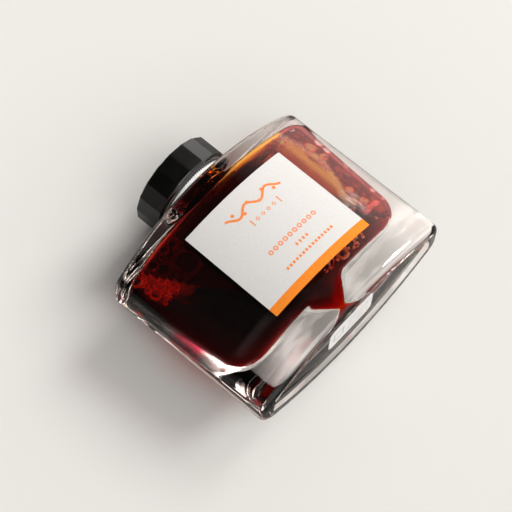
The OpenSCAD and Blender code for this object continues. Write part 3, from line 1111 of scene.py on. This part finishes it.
def build_cap_shell():
    """Faceted outside and a round bore with a flat roof."""
    bm = bmesh.new()
    outline = cap_outline()
    directions = [Vector((p.x, p.y)).normalized() for p in outline]
    inner_top = CAP_TOP - CAP_ROOF
    bore = [(0.4 * SHELL_BORE_R, inner_top), (0.9 * SHELL_BORE_R, inner_top),
            (SHELL_BORE_R, inner_top - SHELL_EASE), (SHELL_BORE_R, lerp(inner_top, CAP_Z, 0.5)),
            (SHELL_BORE_R, CAP_Z + 0.25 * MM), (SHELL_BORE_R + SHELL_EASE, CAP_Z)]
    side = [(CAP_LOW_R, CAP_Z), (CAP_R, CAP_Z + CAP_LOW_H), (CAP_R, CAP_TOP - CAP_BEVEL),
            (CAP_R - CAP_BEVEL, CAP_TOP), (0.6 * CAP_R, CAP_TOP)]
    rings = [flat([d * r for d in directions], z) for r, z in bore]
    rings += [flat([p * (q.x / CAP_R) for p in outline], q.y) for q in rounded_path(side, CAP_FILLETS, 3)]
    rings.append(flat([p * 0.3 for p in outline], CAP_TOP))
    add_skin(bm, rings, first=Vector((0, 0, inner_top)), last=Vector((0, 0, CAP_TOP)))
    piece = new_piece("cap_shell_faceted", bm, [cap_material()], "cap", "cap_shell")
    sharpen(piece, 25)
    return piece


def insert_material():
    """Grey moulded polypropylene: waxy, slightly see-through."""
    n = new_material("insert_plastic")
    colour = n.mottle(400.0, (0.055, 0.055, 0.057), (0.075, 0.075, 0.078))
    return n.opaque(colour, 0.42, {"Normal": n.bump(n.noise(2600.0), 0.12, 0.03 * MM),
                                   "Subsurface Weight": 0.05, "Subsurface Scale": 0.5 * MM})


def build_insert(rows=40):
    """Closed cup with a thread inside."""
    bm = bmesh.new()
    outer, bottom, top = insert_high.x, insert_low.z, insert_high.z
    roof = liner_high.z
    thread_z = THREAD_Z - PITCH / 2 + INSERT_THREAD_LIFT

    def ring(radius, z, thread=0.0):
        points = []
        for d in spokes(180):
            r = radius - thread * thread_rise(math.atan2(d.y, d.x) % TAU, z, thread_z, 1.0)
            points.append(Vector((d.x * r, d.y * r, z)))
        return points

    low, high = bottom + INSERT_EASE, roof - 0.3 * MM
    rings = [ring(INSERT_BORE_R * s, roof) for s in (0.3, 0.8, 0.98)]
    rings += [ring(INSERT_BORE_R, lerp(high, low, i / rows), THREAD_H) for i in range(rows + 1)]
    outside = [(INSERT_BORE_R + INSERT_EASE, bottom), (outer - INSERT_EASE, bottom),
               (outer, bottom + INSERT_EASE), (outer, lerp(bottom, top, 0.5)), (outer, top - INSERT_EASE),
               (outer - INSERT_EASE, top), (outer * 0.5, top)]
    rings += [ring(r, z) for r, z in outside]
    add_skin(bm, rings, first=Vector((0, 0, roof)), last=Vector((0, 0, top)))
    piece = new_piece("cap_insert_threaded", bm, [insert_material()], "cap", "cap_insert")
    sharpen(piece, 35)
    return piece


def liner_material():
    """Off-white foam sheet with small closed cells."""
    n = new_material("liner_foam")
    cells = n.out("TexVoronoi", {"Vector": n.add("TexCoord").outputs["Object"], "Scale": 2200.0})
    colour = n.ramp(cells, [(0.0, (0.62, 0.60, 0.54)), (0.5, (0.78, 0.76, 0.70))])
    return n.opaque(colour, 0.75, {"Normal": n.bump(cells, 0.4, 0.06 * MM)})


def build_liner():
    """Soft disc with rounded edges and a shallow ring where the rim presses into it."""
    bm = bmesh.new()
    outer, low, high = liner_high.x, liner_low.z, liner_high.z
    ease, dent = 0.12 * MM, 0.05 * MM
    profile = [(3 * MM, low), (BORE_R - 0.5 * MM, low), (BORE_R + 0.2 * MM, low + dent),
               (NECK_R - 0.3 * MM, low + dent), (NECK_R + 0.2 * MM, low), (outer - ease, low),
               (outer, low + ease), (outer, high - ease), (outer - ease, high), (0.5 * outer, high)]
    add_skin(bm, [flat([d * r for d in spokes(120)], z) for r, z in profile],
             first=Vector((0, 0, low)), last=Vector((0, 0, high)))
    return new_piece("cap_liner_disc", bm, [liner_material()], "seal", "cap_liner")


build_label()
build_sticker()
build_cord()
build_cap_shell()
build_insert()
build_liner()

# ---- Stage: floor, light and camera ----
FLOOR_SIZE = 6.0
FLOOR_GAP = 0.02 * MM
# Strength of the painted caustic glow that stands in for the light the glass gathers beside its left end and
# under its base
SIDE_GLOW = 7.0
BASE_GLOW = 0.5
# Where on the lying floor they fall, across and up
SIDE_X = (-70 * MM, -34 * MM)
RED_SPOT_Z = (28 * MM, 39 * MM)
BASE_X = (-30 * MM, 36 * MM)
BASE_Z = (3 * MM, 16 * MM)


def gathered_light(n):
    """Painted caustic: a glow on the floor beside and under the heavy glass, standing in for the light it
    gathers there, seen only through the glass.
    """
    x, _, z = n.split(n.add("NewGeometry").outputs["Position"])
    beside = n.times(n.window(x, *SIDE_X, 1 * MM), n.ease(z, 56 * MM, 20 * MM, 0.2, 1.0))
    streaks = n.mottle(260.0, (0.15, 0.12, 0.11), (1.0, 0.95, 0.90), 0.40, 0.62)
    # A red spot of painted light among the painted streaks beside the glass
    streaks = n.mix(n.window(z, *RED_SPOT_Z, 1.5 * MM), streaks, (0.9, 0.03, 0.10, 1))
    # Painted caustic glow under the base, in smoky streaks
    painted_base_glow = n.ease(n.stretched_noise(x, z, 60.0, 170.0), 0.42, 0.62, end=BASE_GLOW)
    under = n.times(n.window(x, *BASE_X, 3 * MM), n.window(z, *BASE_Z, 4 * MM))
    colour = n.mix(n.window(x, -33 * MM, 40 * MM, 0.5 * MM), streaks, (1.0, 0.97, 0.94, 1))
    strength = n.math("MAXIMUM", n.times(beside, SIDE_GLOW), n.times(under, painted_base_glow))
    return n.out("Emission", {"Color": colour, "Strength": n.times(strength, n.ray("Transmission"))})


def painted_red_light(n, tone):
    """The floor tone with painted red light beside the left end, standing in for the light that came through
    the ink and falls there.
    """
    x, _, z = n.split(n.add("NewGeometry").outputs["Position"])
    near = n.ease(x, -50 * MM, -35 * MM)
    right_edge = n.ease(x, -27 * MM, -33 * MM)
    beside_ink = n.ease(n.math("ABSOLUTE", n.minus(z, 32 * MM)), 24 * MM, 4 * MM)
    return n.mix(n.times(near, near, beside_ink, right_edge), tone, (0.84, 0.56, 0.53, 1))


def floor_material(name, lying):
    """Pale matt floor with a faint grain, darker in reflections; the lying one carries painted red light and
    a painted caustic glow. It is there only while its stage is used.
    """
    n = new_material(name)
    tone = n.mottle(6.0, (0.845, 0.835, 0.815), (0.855, 0.845, 0.825))
    tone = n.mix(n.mirrored(), tone, n.multiply(tone, (0.5, 0.5, 0.5, 1)))
    # The lying floor's tone carries painted red light
    paper = n.matt(painted_red_light(n, tone) if lying else tone, Roughness=0.6)
    if lying:
        paper = n.out("AddShader", {0: paper, 1: gathered_light(n)})
    return n.surface(n.blend(n.shown(lying), n.out("BsdfTransparent"), paper))


def build_floor(name, centre, turn, lying):
    """A large flat floor. Turned by zero it is level."""
    bm = bmesh.new()
    place = Matrix.Translation(centre) @ Matrix.Rotation(turn, 4, "X")
    bmesh.ops.create_grid(bm, x_segments=8, y_segments=8, size=FLOOR_SIZE, matrix=place)
    add_mesh(name, bm, [floor_material(name, lying)])


# Tones of the room, to the eye and in reflections; through glass it is warmer
BACKDROP = (0.665, 0.66, 0.65, 1)
LYING_ROOM = (0.62, 0.61, 0.60, 1)
LYING_ROOM_THROUGH = (0.66, 0.575, 0.53, 1)
STANDING_ROOM = (0.78, 0.775, 0.765, 1)
ROOM_STRENGTH = 1.2


def build_world():
    """A dim room with its bright side to the right of the lying bottle, or overhead for the standing one."""
    world = bpy.data.worlds.new("room")
    bpy.context.scene.world = world
    n = Nodes(world, "World")
    direction = n.add("TexCoord").outputs["Generated"]

    def shade(toward, stops):
        """Greys or colours by how nearly a direction is the given one, from 0 for opposite to 1."""
        inputs = {0: direction, 1: Vector(toward).normalized()}
        dot = n.add("VectorMath", inputs, operation="DOT_PRODUCT").outputs["Value"]
        stops = [(at, tone if isinstance(tone, tuple) else (tone,) * 3) for at, tone in stops]
        return n.ramp(n.math("MULTIPLY_ADD", dot, 0.5, 0.5), stops)

    through = n.ray("Transmission")
    front = shade((-0.1, -0.96, 0.27), [(0.68, 1.0), (0.85, 0.05)])
    front = n.mix(through, front, n.mix(0.5, front, WHITE))
    left = shade((-0.9, -0.1, 0.45), [(0.80, 1.0), (0.92, (0.34, 0.32, 0.31))])
    right = shade((0.95, -0.1, 0.1), [(0.80, 0.0), (0.97, (0.86, 0.80, 0.76))])
    below = shade((0.1, -0.1, -0.98), [(0.60, 0.0), (0.85, (0.35, 0.34, 0.33))])
    dim = n.multiply(n.multiply(n.mix(through, LYING_ROOM, LYING_ROOM_THROUGH), front), left)
    lying_room = n.mix(1.0, n.mix(1.0, dim, right, "ADD"), below, "ADD")
    overhead = shade((0, 0, 1), [(0.48, 0.30), (0.62, 0.16), (1.0, 0.5)])
    standing_room = n.mix(n.mirrored(), STANDING_ROOM, overhead)
    colour = n.mix(n.lying(), standing_room, lying_room)
    colour = n.mix(n.ray("Camera"), colour, BACKDROP)
    n.surface(n.out("Background", {"Color": colour, "Strength": ROOM_STRENGTH}))


def point_at(thing, target, forward, distance, roll=0.0):
    """Places a lamp or the camera at a distance from its target and turns it to look along forward."""
    thing.location = target - forward * distance
    thing.rotation_mode = "QUATERNION"
    thing.rotation_quaternion = forward.to_track_quat("-Z", "Y") @ Quaternion((0, 0, 1), -roll)


LAMP_AIM = Vector((0, 0, 35 * MM))
# Name, direction from the bottle, distance and size in metres, watts, colour, whether for the lying bottle
LAMPS = [
    ("key_lying", (0.80, -0.60, -0.08), 1.3, 0.5, 13.0, (1.0, 0.98, 0.95), True),
    ("fill_lying", (-0.10, -0.85, -0.50), 2.2, 1.4, 14.0, (1.0, 0.98, 0.96), True),
    ("key_standing", (0.55, -0.45, 0.85), 2.2, 0.9, 15.0, (1.0, 0.98, 0.95), False),
]


def add_lamp(name, direction, distance, size, watts, colour, lying):
    """A round soft lamp that shines only while its own floor is there."""
    light = bpy.data.lights.new(name, "AREA")
    light.shape = "DISK"
    light.size = size
    light.energy = watts
    light.color = colour
    n = Nodes(light, "Light")
    n.surface(n.out("Emission", {"Strength": n.shown(lying)}))
    away = Vector(direction).normalized()
    point_at(add_object(name, light), LAMP_AIM, -away, distance)


# The camera looks up from the front left and below the base, with the picture turned on its side.
CAMERA_TURN = math.radians(21.69)
CAMERA_RISE = math.radians(15.46)
CAMERA_ROLL = math.radians(51.35)
CAMERA_AIM = Vector((-2.5, 0.15, 35.86)) * MM
CAMERA_DISTANCE = 551 * MM
CAMERA_LENS = 130.3


def add_camera():
    data = bpy.data.cameras.new("camera")
    data.lens = CAMERA_LENS
    data.sensor_width = 36
    data.clip_start = 0.01
    camera = add_object("camera", data)
    level = Vector((math.sin(CAMERA_TURN), math.cos(CAMERA_TURN), 0))
    forward = level * math.cos(CAMERA_RISE) + Vector((0, 0, math.sin(CAMERA_RISE)))
    point_at(camera, CAMERA_AIM, forward, CAMERA_DISTANCE, CAMERA_ROLL)
    bpy.context.scene.camera = camera


# The bottle lies on its back for the main camera, which is below its base, and stands for every other one.
build_floor("floor_lying", Vector((0, HALF_D + FLOOR_GAP, 0)), math.radians(90), True)
build_floor("floor_standing", Vector((0, 0, -FLOOR_GAP)), 0, False)
build_world()
for lamp in LAMPS:
    add_lamp(*lamp)
add_camera()
scene = bpy.context.scene
scene.view_settings.view_transform = "Standard"
# Light passes through many skins of glass, ink and film on its way
scene.cycles.max_bounces = 24
scene.cycles.transmission_bounces = 24
scene.cycles.transparent_max_bounces = 32
scene.cycles.caustics_reflective = False
scene.cycles.caustics_refractive = False
